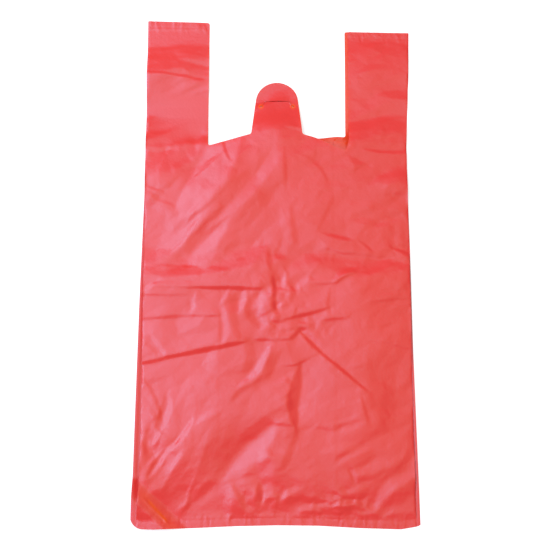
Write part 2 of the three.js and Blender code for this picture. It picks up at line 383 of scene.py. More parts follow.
# How the creases tilt the front panel. A band is a run of (across, up, width) points and the slope at which
# the film falls from one long edge to the other: toward the right or the lower edge, or the other way when it
# is negative.
TILTED_BANDS = [
    # left handle
    ([(-141, 318, 50), (-115, 320, 50), (-98, 326, 36)], 0.17),
    ([(-141, 372, 36), (-115, 374, 38), (-96, 380, 32), (-76, 391, 18)], -0.25),
    ([(-141, 452, 40), (-66, 452, 40)], 0.17),
    ([(-141, 410, 34), (-66, 410, 34)], -0.27),
    ([(-114, 430, 60), (-114, 408, 60)], 0.10),
    ([(-141, 497, 4), (-122, 500, 5), (-106, 503, 4), (-96, 504, 2)], -0.08),
    ([(-141, 482, 22), (-122, 482, 22), (-106, 479, 22), (-90, 473, 24), (-66, 467, 24)], -0.20),
    ([(-141, 471, 2), (-120, 470, 2), (-100, 467, 2), (-78, 463, 1.5)], -0.34),
    ([(-104, 487, 3), (-90, 485, 4), (-70, 480, 4)], 0.16),
    ([(-92, 517, 4), (-83, 510, 6), (-70, 500, 5)], 0.16),
    ([(-118, 447, 6), (-103, 454, 8), (-88, 461, 6)], -0.22),
    ([(-132, 424, 6), (-112, 430, 8), (-92, 437, 6)], -0.18),
    ([(-96, 447, 4), (-84, 452, 5), (-70, 457, 4)], -0.22),
    ([(-141, 399, 8), (-118, 406, 10), (-96, 417, 8), (-80, 424, 4)], -0.14),
    ([(-104, 393, 8), (-90, 397, 10), (-66, 396, 8)], -0.14),
    ([(-141, 384, 3), (-124, 384, 3), (-110, 386, 2)], 0.30),
    # right handle
    ([(68, 403, 24), (95, 405, 22), (110, 410, 22), (125, 411, 18), (141, 410, 18)], -0.24),
    ([(92, 384, 2), (108, 381.5, 3), (124, 381, 4), (138, 382, 4)], -0.32),
    ([(98, 503, 2), (108, 508, 5), (120, 511, 6), (132, 508, 6), (138, 505, 4)], -0.16),
    ([(78, 514, 5), (85, 511, 6), (92, 513, 4)], 0.15),
    ([(80, 468, 4), (100, 478, 8), (125, 478, 6)], -0.08),
    ([(98, 458, 3), (118, 463, 4), (136, 471, 3)], 0.10),
    ([(110, 455, 10), (122, 452, 16), (136, 446, 14)], 0.08),
    ([(84, 444, 4), (96, 445, 5), (108, 449, 4)], 0.12),
    ([(82, 426, 8), (92, 430, 8), (102, 436, 5)], -0.12),
    ([(78, 420, 3), (84, 421, 3)], -0.20),
    # tab
    ([(-26, 447, 20), (26, 447, 20)], -0.10),
    ([(-26, 424, 18), (0, 424, 22), (14, 427, 18), (22, 430, 12)], -0.08),
    ([(-24, 434, 3), (-16, 436, 4), (-8, 438, 2)], -0.25),
    ([(12, 407, 2), (20, 406, 3), (28, 404, 2)], 0.20),
    # bright pane and pull folds, from the mouth down to the left side
    ([(-52, 398, 30), (-60, 374, 34), (-72, 350, 36), (-92, 322, 24)], -0.32),
    ([(-20, 402, 36), (-16, 380, 44), (-8, 352, 26)], -0.13),
    ([(-57, 393, 1.4), (-54.5, 383, 1.8), (-49, 370, 1)], 0.35),
    ([(-18, 380, 5), (-28, 363, 9), (-38, 348, 13), (-48, 334, 14),
      (-60, 318, 12), (-78, 301, 8), (-94, 287, 5)], 0.06),
    ([(-58, 318, 4), (-66, 310, 7), (-76, 303, 4)], 0.20),
    ([(2, 372, 6), (-14, 356, 10), (-28, 338, 12), (-44, 320, 10), (-56, 308, 8)], -0.10),
    ([(0, 348, 14), (-14, 330, 16), (-30, 312, 16), (-46, 296, 12)], 0.11),
    ([(-54, 296, 6), (-66, 284, 12), (-78, 272, 12), (-90, 258, 6)], -0.22),
    ([(-40, 284, 8), (-54, 270, 10), (-66, 262, 7), (-76, 256, 4)], 0.20),
    ([(-80, 311, 3), (-88, 299, 5), (-97, 285, 4), (-108, 274, 2)], -0.18),
    ([(-74, 300, 6), (-84, 288, 10), (-94, 274, 10), (-108, 266, 6)], 0.18),
    ([(-84, 314, 3), (-96, 304, 5), (-106, 296, 3)], 0.16),
    ([(-136, 343, 2), (-128, 340, 3), (-118, 337, 2)], 0.35),
    ([(-137, 337, 6), (-130, 334, 5), (-122, 328, 4), (-108, 323, 3)], 0.22),
    ([(-137, 327, 4), (-120, 318, 6), (-110, 312, 4)], -0.14),
    ([(-141, 268, 22), (-118, 268, 20), (-100, 266, 10)], -0.20),
    ([(-72, 262, 12), (-42, 266, 24), (-10, 270, 24)], -0.25),
    ([(-112, 352, 26), (-112, 316, 26)], -0.10),
    ([(-60, 372, 44), (-84, 334, 44)], -0.10),
    ([(-80, 196, 36), (-80, 140, 36)], -0.06),
    # packing folds across the left half
    ([(-141, 251, 13), (-110, 251, 12), (-85, 252, 11), (-62, 253, 8), (-50, 254, 4)], -0.26),
    ([(-139, 246, 4), (-122, 246, 3)], 0.20),
    ([(-122, 259, 2), (-100, 258, 2), (-80, 257, 2)], -0.20),
    ([(-136, 241, 4), (-120, 240, 4), (-100, 240, 3), (-70, 243, 4), (-50, 246, 4)], -0.15),
    ([(-134, 233, 3), (-126, 238, 4), (-120, 241, 2)], -0.30),
    ([(-123, 235.5, 0.5), (-100, 235, 1.5), (-80, 235, 2.5), (-60, 234.5, 4),
      (-46, 234.5, 5), (-30, 234, 4), (-15, 234, 2)], 0.50),
    ([(-139, 227.5, 2), (-110, 227, 2), (-90, 227, 1)], 0.25),
    ([(-139, 203, 4), (-120, 204, 4), (-95, 206, 4), (-70, 206, 3), (-58, 206, 2)], 0.30),
    ([(-140, 157.5, 4), (-120, 161.5, 4), (-100, 166, 4), (-80, 170, 4.5),
      (-60, 174, 4.5), (-45, 177, 4), (-32, 179.5, 2)], 0.50),
    ([(-136, 182, 2), (-128, 176, 3), (-120, 168, 3)], 0.15),
    ([(-126, 186, 3), (-119, 177, 5), (-112, 168, 3)], -0.22),
    ([(-82, 230, 2), (-85, 222, 4), (-84, 215, 5), (-87, 209, 2)], -0.22),
    ([(-50, 233, 2), (-52, 226, 5), (-56, 218, 4), (-54, 208, 7),
      (-51, 198, 5), (-51, 188, 7), (-54, 178, 3)], -0.18),
    ([(-57, 208, 2), (-57, 195, 3), (-57, 183, 2)], 0.14),
    ([(-66, 211, 3), (-60, 215, 4), (-55, 222, 3)], -0.20),
    ([(-45, 228, 8), (-44, 210, 8), (-42, 195, 8), (-38, 185, 6)], 0.12),
    # crumple in the middle
    ([(-33, 232, 5), (-34, 222, 7), (-37, 212, 4)], -0.28),
    ([(-30, 215, 6), (-27, 205, 8), (-22, 200, 6)], 0.20),
    ([(-14, 230, 7), (-17, 224, 5)], -0.28),
    ([(-16, 214, 6), (-14, 206, 9), (-12, 198, 7), (-16, 193, 4)], -0.30),
    ([(-4, 245, 4), (-3, 235, 5), (-3, 225, 4), (-2, 214, 3)], 0.35),
    ([(-8, 272, 4), (-8, 262, 5), (-6, 254, 4)], 0.22),
    ([(-2, 272, 3), (2, 278, 5), (4, 283, 3)], 0.22),
    ([(1, 267, 6), (8, 266, 6)], -0.18),
    ([(4, 252, 7), (8, 244, 7), (6, 236, 4)], -0.24),
    ([(10, 246, 4), (12, 238, 3), (18, 232, 3)], 0.24),
    ([(4, 230, 8), (12, 232, 8), (22, 230, 6)], -0.14),
    ([(-4, 200, 3), (4, 200, 3), (10, 203, 2)], 0.30),
    ([(-2, 190.5, 2), (12, 192, 2), (22, 193.5, 2), (28, 193, 2)], 0.30),
    ([(-20, 182, 2), (-4, 181.5, 2), (6, 182, 2.5), (13, 182.5, 3), (18, 187, 4), (23, 192, 3)], 0.40),
    ([(-2, 224, 4), (4, 218, 5), (10, 216, 4)], -0.24),
    ([(22, 212, 3), (30, 214, 4)], -0.24),
    ([(12, 198, 5), (22, 199, 5), (30, 198, 4)], -0.18),
    ([(-28, 178, 10), (-26, 166, 10), (-30, 152, 8)], 0.14),
    ([(-8, 174, 4), (-15, 160, 8), (-20, 150, 8), (-28, 142, 8), (-36, 137, 4)], -0.32),
    ([(-5, 160, 12), (-12, 146, 10), (-26, 138, 6), (-38, 130, 5), (-44, 122, 4)], 0.20),
    ([(-10, 132, 10), (-20, 124, 10), (-26, 118, 6)], -0.14),
    # fan at the left side
    ([(-138, 76, 18), (-126, 58, 24), (-114, 42, 20)], 0.20),
    ([(-134, 145, 2), (-126, 133, 3), (-119, 120, 3), (-115, 108, 3)], 0.20),
    ([(-105, 120, 4), (-107, 110, 6), (-111, 99, 5), (-117, 88, 4), (-121, 80, 3)], -0.32),
    ([(-110, 130, 3), (-112, 118, 4), (-116, 104, 4)], 0.15),
    ([(-83, 103, 3), (-92, 87, 6), (-99, 80, 5), (-107, 73, 5),
      (-112, 65, 5), (-118, 55, 4), (-124, 47, 3)], -0.32),
    ([(-57, 112, 4), (-65, 109, 7), (-72, 105, 6), (-78, 100, 3)], -0.22),
    ([(-113, 73, 2), (-120, 66, 3), (-127, 59, 2)], -0.30),
    ([(-108, 76, 2), (-114, 68, 4), (-121, 58, 4), (-126, 50, 3)], 0.25),
    ([(-128, 92, 3), (-130, 82, 4), (-129, 70, 4)], 0.22),
    ([(-134, 95, 2), (-133, 85, 3), (-135, 75, 2)], -0.22),
    ([(-93, 73, 2), (-97, 66, 3), (-103, 56, 3), (-108, 46, 2)], -0.18),
    ([(-98, 86, 3), (-104, 76, 3), (-110, 62, 3), (-116, 50, 3)], 0.16),
    # dark pane at the lower left and the bright folds beside it
    ([(-5, 104, 6), (-20, 98, 20), (-40, 89, 34), (-57, 74, 38), (-76, 56, 38), (-96, 40, 30)], 0.17),
    ([(-10, 92, 6), (-28, 82, 12), (-42, 70, 12), (-52, 56, 10),
      (-62, 42, 9), (-76, 33, 10), (-88, 24, 10)], 0.08),
    ([(-4, 92, 8), (-16, 78, 20), (-28, 66, 22), (-40, 54, 16), (-50, 46, 5)], -0.24),
    ([(-18, 74, 3), (-8, 71, 6), (4, 66, 6)], 0.16),
    ([(-14, 70, 8), (-11, 58, 18), (-10, 44, 14)], -0.20),
    ([(-44, 41, 3), (-34, 43, 5), (-26, 45, 5)], -0.25),
    ([(-44, 49, 2), (-36, 50, 3), (-26, 50, 2)], 0.12),
    ([(-42, 38, 4), (-36, 28, 6), (-32, 20, 6)], 0.28),
    ([(-17, 38, 5), (-18, 28, 7), (-19, 20, 6)], 0.32),
    ([(-76, 38, 4), (-84, 28, 6), (-90, 21, 4)], -0.32),
    ([(-66, 40, 8), (-74, 33, 10), (-84, 24, 10), (-90, 14, 8)], 0.20),
    ([(-78, 18, 4), (-72, 16, 6)], -0.22),
    ([(-57, 18, 4), (-57, 10, 5)], 0.10),
    ([(-47, 30, 8), (-50, 10, 9)], -0.18),
    # inner folds of the tucks, printed through the front
    ([(-59, 386, 2), (-58, 240, 2), (-58, 14, 2)], 0.05),
    ([(58, 386, 2), (58, 240, 2), (58, 14, 2)], 0.05),
    # upper right
    ([(-4, 378, 4), (1, 364, 10), (4, 348, 5)], -0.05),
    ([(8, 385, 2), (9, 365, 3), (9, 340, 3)], 0.12),
    ([(24, 378, 3), (36, 372, 3), (46, 362, 3), (52, 350, 3)], 0.12),
    ([(56, 372, 3), (68, 376, 3), (76, 381, 2)], 0.12),
    ([(98, 346, 8), (110, 349, 16), (122, 353, 22), (141, 356, 20)], -0.20),
    ([(104, 345, 5), (115, 342, 6), (128, 346, 5)], 0.11),
    ([(46, 338, 3), (60, 340, 3), (76, 339, 3)], 0.14),
    ([(118, 336, 4), (126, 335, 6), (137, 334, 5)], 0.21),
    ([(96, 318, 6), (110, 325, 6), (124, 332, 5)], 0.09),
    ([(100, 308, 8), (114, 310, 8), (126, 314, 6)], 0.11),
    ([(104, 300, 6), (116, 306, 8), (128, 309, 6)], -0.14),
    ([(57, 328, 4), (50, 312, 4), (42, 296, 3)], 0.12),
    ([(2, 318, 3), (6, 308, 7), (7, 298, 8), (10, 287, 5)], -0.09),
    ([(15, 320, 4), (17, 300, 6), (19, 284, 5)], 0.12),
    ([(46, 293, 2), (58, 290, 4), (70, 287, 4), (78, 285, 2)], 0.24),
    ([(83, 286, 1), (90, 281, 2), (98, 273, 2)], 0.26),
    # across the right half
    ([(44, 275, 1), (54, 276, 2), (62, 272.5, 3), (68, 271, 3), (80, 271, 2),
      (94, 269, 2), (103, 267, 3), (120, 269, 1)], 0.37),
    ([(10, 248, 8), (20, 256, 14), (30, 262, 16), (42, 264, 18), (60, 260, 14),
      (84, 256, 20), (110, 258, 18), (141, 262, 14)], -0.20),
    ([(116, 279, 1), (126, 275, 3), (138, 270, 4)], 0.41),
    ([(122, 266, 4), (130, 265, 5), (138, 266, 4)], 0.17),
    ([(56, 241, 3), (62, 247, 5), (70, 252, 6), (78, 254, 4)], -0.30),
    ([(38, 239, 2), (50, 239, 2.5), (60, 240, 2.5), (66, 245, 3), (74, 249, 3), (80, 250, 1)], 0.37),
    ([(26, 240, 6), (32, 245, 7), (37, 243, 4)], -0.20),
    ([(24, 238, 2), (25, 232, 3), (28, 230, 2)], 0.20),
    ([(62, 228, 10), (74, 238, 12), (90, 240, 8)], -0.09),
    ([(92, 220, 1), (106, 221.5, 2.5), (120, 223.5, 3), (136, 224, 2)], 0.30),
    ([(13, 203.5, 2), (22, 206, 3), (35, 209, 3.5), (48, 213, 2.5), (54, 215, 1)], 0.43),
    ([(53, 214, 2), (52, 209, 3), (55, 206, 2)], 0.20),
    ([(54, 232, 3), (52, 224, 3), (51, 216, 2)], 0.16),
    ([(46, 202, 2), (56, 203, 3), (70, 204, 2)], 0.27),
    ([(88, 195, 3), (105, 196, 3), (118, 199, 2)], 0.11),
    ([(96, 180, 3), (108, 180, 4), (120, 176, 4), (136, 172, 4)], 0.22),
    ([(100, 168, 14), (115, 165, 14), (136, 160, 12)], 0.09),
    ([(24, 190, 2), (30, 183, 4), (36, 177, 5), (44, 169, 3), (52, 162, 2.5),
      (60, 156, 4), (76, 142, 3), (90, 130, 1)], 0.43),
    ([(34, 186, 4), (42, 178, 4)], -0.17),
    # lower right
    ([(52, 232, 60), (54, 108, 64)], -0.11),
    ([(23, 158, 2), (22, 150, 6), (20, 140, 10), (17, 128, 12),
      (15.5, 115, 11), (17, 102, 8), (18.5, 93, 2)], 0.32),
    ([(-4, 104, 6), (3, 105, 9), (8, 106, 6)], -0.16),
    ([(-2, 98.5, 3), (6, 97.5, 4), (15, 97, 3)], 0.18),
    ([(2, 140, 5), (9, 143, 6), (14, 138, 4)], -0.21),
    ([(4, 130, 8), (10, 128, 8), (12, 118, 6)], 0.14),
    ([(-2, 150, 5), (8, 152, 6), (14, 150, 4)], 0.12),
    ([(10, 86, 6), (14, 87, 5)], 0.21),
    ([(20, 92, 4), (16, 80, 6), (11, 68, 7), (6, 57, 5)], 0.19),
    ([(30, 95, 2), (42, 95, 3), (54, 92, 4), (64, 97, 4), (74, 101, 3), (84, 102, 2)], 0.17),
    ([(58, 91, 4), (68, 92, 6), (78, 95, 4)], -0.17),
    ([(84, 124, 2), (87, 112, 4), (90, 101, 4)], 0.21),
    ([(98, 132, 22), (106, 115, 26), (110, 100, 14)], 0.13),
    ([(118, 108, 3), (112, 104, 4), (108, 112, 3)], 0.10),
    ([(58, 59, 3), (66, 65, 4), (76, 69, 4), (90, 75, 3)], -0.19),
    ([(60, 66, 4), (70, 73, 5), (84, 80, 4)], 0.14),
    ([(72, 56, 4), (74, 52, 5), (78, 45, 6), (86, 47, 6)], -0.21),
    ([(70, 54, 2), (73, 47, 3), (74, 43, 2)], 0.27),
    ([(84, 52, 8), (98, 60, 10), (112, 65, 8)], -0.14),
    ([(92, 44, 8), (104, 50, 8), (118, 56, 6)], 0.15),
    ([(96, 22, 4), (102, 30, 10), (112, 40, 12), (124, 46, 10), (134, 50, 6)], -0.23),
    ([(108, 26, 12), (120, 32, 16), (134, 40, 14)], 0.15),
    ([(86, 14, 5), (94, 18, 6), (100, 22, 5)], -0.21),
    ([(104, 10, 2), (112, 15, 3)], -0.21),
    ([(-2, 20, 4), (14, 25, 6), (24, 28, 7), (34, 24, 5), (46, 24, 3)], 0.18),
    ([(6, 28, 3), (10, 32, 5), (18, 36, 5)], -0.27),
    ([(22, 17, 4), (34, 19, 5), (48, 20, 5), (58, 22, 4)], -0.21),
    ([(26, 14, 2), (38, 13, 3), (50, 12, 3)], 0.18),
    ([(56, 24, 1), (64, 27, 2), (74, 27.5, 2), (82, 26, 1)], 0.28),
    ([(58, 22, 4), (68, 23, 5), (80, 24, 4)], -0.21),
    ([(66, 32, 3), (74, 35, 4), (80, 38, 2)], -0.21),
    ([(56, 31, 3), (64, 30, 3)], 0.21),
    ([(50, 17, 2), (60, 18, 2), (68, 17, 2)], 0.22),
]

# Patches of crumpled film: middle, spread across and up, and how much of the crumple they take
CRUMPLED_PATCHES = [
    ((0, 222), (24, 30), 1.0),
    ((-6, 26), (34, 16), 0.6),
    ((66, 20), (34, 14), 1.0),
    ((-118, 80), (14, 44), 0.5),
    ((30, 195), (30, 14), 0.7),
    ((125, 290), (16, 60), 0.3),
]


def add_band(fall_x, fall_y, points, tilt):
    """Adds the slopes of one band to the slopes wanted on the crease grid."""
    points = np.array(points, float)
    reach = points[:, 2].max() + BAND_MARGIN
    first = np.maximum((points[:, :2].min(axis=0) - reach - CREASES_LOW) / CREASE_STEP, 0).astype(int)
    last = ((points[:, :2].max(axis=0) + reach - CREASES_LOW) / CREASE_STEP).astype(int) + 1
    window = (slice(first[1], last[1]), slice(first[0], last[0]))
    x, y = (grid[window] for grid in crease_grid())
    chord = points[-1] - points[0]
    hand = 1.0 if chord[1] + RIGHT_OVER_DOWN * chord[0] > 0 else -1.0
    nearest, half_width = np.full(x.shape, np.inf), np.ones(x.shape)
    down_x, down_y = np.zeros(x.shape), np.zeros(x.shape)
    for (ax, ay, a_width), (bx, by, b_width) in zip(points, points[1:]):
        leg = math.hypot(bx - ax, by - ay)
        dx, dy = (bx - ax) / leg, (by - ay) / leg
        t = np.clip((x - ax) * dx + (y - ay) * dy, 0.0, leg)
        distance = np.hypot(x - ax - t * dx, y - ay - t * dy)
        closer = distance < nearest
        nearest = np.where(closer, distance, nearest)
        half_width = np.where(closer, (a_width + (b_width - a_width) * t / leg) / 2, half_width)
        down_x, down_y = np.where(closer, hand * dy, down_x), np.where(closer, -hand * dx, down_y)
    fade = STEEP_FADE if abs(tilt) > STEEP_TILT else GENTLE_FADE
    fades_from, gone_at = half_width * (1 - fade) - FADE_INSIDE, half_width * (1 + fade) + FADE_OUTSIDE
    share = 1.0 - smooth_step(nearest, fades_from, gone_at)
    fall_x[window] -= tilt * share * down_x
    fall_y[window] -= tilt * share * down_y


def crease_grid():
    """The points on which the creases are worked out, as arrays of across and up."""
    across = np.arange(CREASES_LOW[0], CREASES_HIGH[0] + CREASE_STEP / 2, CREASE_STEP)
    up = np.arange(CREASES_LOW[1], CREASES_HIGH[1] + CREASE_STEP / 2, CREASE_STEP)
    return np.meshgrid(across, up)


def heights_from_slopes(slope_x, slope_y):
    """The sheet, free round its edge, whose slopes follow the wanted ones best, found as a sum of cosine
    waves. Its weight lays it back down over a settling length."""
    slope_x = np.hstack([slope_x, -slope_x[:, ::-1]])
    slope_x = np.vstack([slope_x, slope_x[::-1]])
    slope_y = np.hstack([slope_y, slope_y[:, ::-1]])
    slope_y = np.vstack([slope_y, -slope_y[::-1]])
    waves_y, waves_x = (2 * np.pi * np.fft.fftfreq(n, CREASE_STEP) for n in slope_x.shape)
    waves_y, waves_x = waves_y[:, None], waves_x[None, :]
    spread = 1j * (waves_x * np.fft.fft2(slope_x) + waves_y * np.fft.fft2(slope_y))
    heights = np.fft.ifft2(-spread / (waves_x**2 + waves_y**2 + 1.0 / SETTLING_LENGTH**2)).real
    return heights[: heights.shape[0] // 2, : heights.shape[1] // 2]


def creases():
    """The heights that all the tilted bands together give the front panel, on the crease grid."""
    slope_x, slope_y = (np.zeros(grid.shape) for grid in crease_grid())
    for points, tilt in TILTED_BANDS:
        add_band(slope_x, slope_y, points, tilt)
    return heights_from_slopes(slope_x, slope_y)


def read_grid(heights, x, y):
    """Heights between the points of the crease grid."""
    into_last_cell = 1.001
    column = np.clip((x - CREASES_LOW[0]) / CREASE_STEP, 0, heights.shape[1] - into_last_cell)
    row = np.clip((y - CREASES_LOW[1]) / CREASE_STEP, 0, heights.shape[0] - into_last_cell)
    c, r = column.astype(int), row.astype(int)
    tc, tr = column - c, row - r
    low = heights[r, c] * (1 - tc) + heights[r, c + 1] * tc
    high = heights[r + 1, c] * (1 - tc) + heights[r + 1, c + 1] * tc
    return low * (1 - tr) + high * tr


def facets(x, y, spacing, seed, heading=0.0, stretch=1.0):
    """A crumpled sheet's flat facets: heights from -1 to 1 at scattered corners, with straight slopes between
    them. The facets are longer by stretch along a heading in degrees."""
    turn = math.radians(heading)
    along = (x * math.cos(turn) + y * math.sin(turn)) / stretch
    beside = y * math.cos(turn) - x * math.sin(turn)
    rng = random.Random(seed)
    margin, jitter = 2 * spacing, 0.4
    low = (along.min() - margin, beside.min() - margin)
    high = (along.max() + margin, beside.max() + margin)
    corners = []
    for cx, cy in hex_grid(low, high, spacing):
        off_x, off_y = rng.uniform(-jitter, jitter), rng.uniform(-jitter, jitter)
        corners.append((cx + off_x * spacing, cy + off_y * spacing))
    flat, _, faces, *_ = delaunay_2d_cdt([Vector(c) for c in corners], [], [], 0, MERGE_WITHIN)
    tops = [(c.x, c.y, rng.uniform(-1.0, 1.0)) for c in flat]
    sheet = BVHTree.FromPolygons(tops, faces)
    above, down = 5.0, Vector((0.0, 0.0, -1.0))
    return np.array([sheet.ray_cast(Vector((a, b, above)), down)[0].z for a, b in zip(along, beside)])


def front_air(x, y):
    """How far the air left in the bag holds the front panel up: most over the body and less in the handles,
    lower to the right, and fading out up the tab."""
    falls_across = [-140, -112, -98, -86, -76, 40, 76, 140]
    falls_from = np.interp(x, falls_across, [348, 349, 354, 368, 400, 402, 396, 394])
    fall_length, side_margin = 44.0, 3.0
    body = 1.0 - smooth_step(y, falls_from, falls_from + fall_length)
    toward_side = np.clip(np.abs(x) / (HALF_WIDTH - side_margin), 0.0, 1.0)
    sides = 1.0 - np.where(x < 0, 0.08, 0.8) * toward_side**10
    lower_on_the_right = 1.0 - 0.65 * smooth_step(x, 0.0, 138.0)
    weld_line, weld_slope = 7.0, 35.0
    crown = BODY_AIR * body * (1.0 - np.exp(-np.clip(y - weld_line, 0.0, None) / weld_slope))
    below_handle_weld = smooth_step(BAG_LENGTH - HANDLE_SKIRT - y, 0.0, 40.0)
    handles = HANDLE_AIR * (1.0 - body) * below_handle_weld
    off_the_tab = smooth_step(np.abs(x), 40.0, 74.0) * (0.75 + 0.25 * smooth_step(np.abs(x), 73.0, 100.0))
    return lower_on_the_right * (sides * crown + handles * off_the_tab)


def crumple(x, y):
    """The small facets of the crumpled patches and the faint ones everywhere."""
    crumpled = np.zeros(x.shape)
    for (mx, my), (sx, sy), share in CRUMPLED_PATCHES:
        crumpled = np.maximum(crumpled, share * np.exp(-(((x - mx) / sx) ** 2) - ((y - my) / sy) ** 2))
    upper_left = smooth_step(-x, -30.0, 20.0) * between(y, 230.0, 270.0, 370.0, 400.0)
    lower_left = smooth_step(-x, 30.0, 80.0) * (1 - smooth_step(y, 110.0, 150.0))
    elsewhere = 1 - upper_left - lower_left
    # where each layer of facets lies, its height, and the facets' spacing, seed, heading and stretch
    layers = [
        (crumpled, 0.9, 11.0, SEED + 2, 0.0, 1.0),
        (crumpled, 0.8, 6.5, SEED + 3, 0.0, 1.0),
        (upper_left, 0.6, 11.0, SEED + 4, 50.0, 3.0),
        (lower_left, 0.5, 9.0, SEED + 5, 62.0, 3.0),
        (elsewhere, 0.6, 13.0, SEED + 6, 16.0, 2.0),
        (1.0, 0.16, 6.0, SEED + 8, 30.0, 1.5),
    ]
    return sum(where * height * facets(x, y, *kind) for where, height, *kind in layers)


# Folding the blank into the bag


def side_pull(y, side):
    """How far the front panel's side fold lies inside the bag's full width, drawn in by the wrinkles."""
    if side < 0:
        return np.interp(y, [0, 38, 93, 255, 385, 460, 530], [4.0, 5.6, 6.0, 4.0, 2.0, 1.0, 0.5])
    return np.interp(y, [0, 83, 173, 276, 395, 470, 530], [5.0, 5.0, 5.0, 4.0, 3.5, -0.5, -2.6])


def back_pull(y, side):
    """The same for the back panel, which lies nearly flat."""
    if side < 0:
        return np.interp(y, [0, 93, 224, 385, 460, 530], [-1.5, -1.0, 0.0, 2.5, 1.0, 0.0])
    return np.interp(y, [0, 83, 173, 276, 395, 470, 530], [1.0, 2.0, 3.0, 3.0, 4.0, -1.0, -3.0])


def free_relief(crease_heights, x, y):
    """The creases and the crumple, held down where the panel is welded."""
    above_weld = smooth_step(y, BOTTOM_SKIRT, WELD_REACH)
    below_handle_weld = smooth_step(BAG_LENGTH - HANDLE_SKIRT - y, 0.0, HANDLE_WELD_REACH)
    return above_weld * below_handle_weld * (read_grid(crease_heights, x, y) + crumple(x, y))


def from_corner_fold(x, y):
    """How far a point lies outside the lower left corner's slanting fold, and its share of the way along
    it."""
    (ax, ay), (bx, by) = CORNER_FOLD
    length = math.hypot(bx - ax, by - ay)
    outside = ((x - ax) * (by - ay) - (y - ay) * (bx - ax)) / length
    return outside, ((x - ax) * (bx - ax) + (y - ay) * (by - ay)) / length**2


def turned_corner(x, y):
    """How far the lower left corner is turned up, all its plies together, with a sharper nick in its fold."""
    outside, along = from_corner_fold(x, y)
    ramp = np.clip((outside + CORNER_BEND) / (2 * CORNER_BEND), 0.0, 1.0)
    sags_outward = 1 - 0.15 * smooth_step(outside, CORNER_BEND, 30.0)
    rise = CORNER_RISE * (0.7 * ramp + 0.3 * smooth_step(ramp, 0.0, 1.0)) * sags_outward
    nick_height = 0.5
    return rise + nick_height * bell(outside, 1.0, 0.9) * between(along, 0.2, 0.35, 0.75, 0.9)


def weld_crimps(x, from_edge):
    """Small upright ripples that the hot bar leaves between an edge of the bag and just past the weld along
    it, and the groove of the weld itself."""
    ripple_height, groove_depth, groove_width = 0.25, 0.12, 1.2
    ripples = facets(x, from_edge, 3.2, SEED + 7, 90.0, 2.6)
    groove = bell(from_edge, BOTTOM_SKIRT + WELD_WIDTH / 2, groove_width)
    return ripple_height * (1 - smooth_step(from_edge, 7.0, 16.0)) * ripples - groove_depth * groove


def slit_lip(x, y):
    """How far the film above the hanging slit stands open."""
    lift, fades_over = 1.0, 6.0
    above = (y > SLIT_Y) & (y < TAB_TIP_Y)
    across_slit = 1.0 - smooth_step(np.abs(x), 0.1 * SLIT_TOP_SPAN / 2, 1.2 * SLIT_TOP_SPAN / 2)
    return np.where(above, lift * across_slit * np.exp(-np.clip(y - SLIT_Y, 0.0, None) / fades_over), 0.0)


def back_lip_curl(x, cut_y):
    """How far the lower plies curl up along the right half of the mouth, where the front panel has slipped
    down and bares them."""
    lift, fades_over = 3.2, 5.0
    on_lip = between(x, 34.0, 44.0, HANDLE_INNER, HANDLE_INNER + 6.0)
    return lift * on_lip * np.exp(-np.abs(mouth_lip(np.abs(x)) - cut_y) / fades_over)


def laid_out(x, y, share):
    """Where a point of the folded tube lies on the table. Share is how far its ply goes with the back."""
    right_handle = smooth_step(x, 60.0, 76.0) * smooth_step(y, 392.0, 500.0)
    left_handle = smooth_step(-x, 60.0, 76.0) * smooth_step(y, 420.0, 520.0)
    back_lip = smooth_step(x, 36.0, 72.0) * between(y, 300.0, 390.0, 400.0, 500.0)
    front_lip = smooth_step(x, 36.0, 73.0) * between(y, 340.0, 390.0, 400.0, 500.0)
    tab = (1 - smooth_step(np.abs(x), 24.0, 34.0)) * smooth_step(y, 394.0, 434.0)
    skewed_about = 75.0
    drop = RIGHT_HANDLE_DROP + RIGHT_HANDLE_SKEW * (x - skewed_about)
    rise = LEFT_HANDLE_RISE - LEFT_HANDLE_SKEW * (x + skewed_about)
    y = y - right_handle * drop + left_handle * rise
    y = y + TAB_RISE * tab + BACK_LIP_RISE * share * back_lip - FRONT_LIP_SLIP * (1 - share) * front_lip
    bares_lower_plies = between(x, 55.0, 73.0, 85.0, 130.0) * smooth_step(y, 378.0, 396.0)
    x = x + FRONT_LIP_DRIFT * (1 - share) * bares_lower_plies

    near_bottom = 1 - smooth_step(y, 0.0, 60.0)
    bow_across = [-142, -120, -80, -40, 0, 40, 80, 120, 142]
    bow = np.interp(x, bow_across, [-1.5, -2.2, -1.0, 0.8, 1.6, 1.2, -1.0, -2.2, 1.5])
    corner_radius = np.where(x < 0, 12.0, 7.0)
    short_of_upright = 0.98
    into_corner = np.abs(x) - (LAID_HALF_WIDTH - corner_radius)
    into_corner = np.clip(into_corner, 0.0, corner_radius * short_of_upright)
    return x, y + near_bottom * (bow + corner_radius - np.sqrt(corner_radius**2 - into_corner**2))


def plies_of(round_way):
    """The plies that the blank's points lie in, as conditions for a choice of front, front tuck, back tuck or
    else back, and how far out from the bag's middle line the folds put them."""
    plies = [round_way <= FRONT_FOLD, round_way <= TUCK_FOLD, round_way <= BACK_FOLD]
    across = [round_way, 2 * HALF_WIDTH - round_way, round_way - 2 * GUSSET_DEPTH]
    return plies, np.select(plies, across, BACK_MIDDLE - round_way)


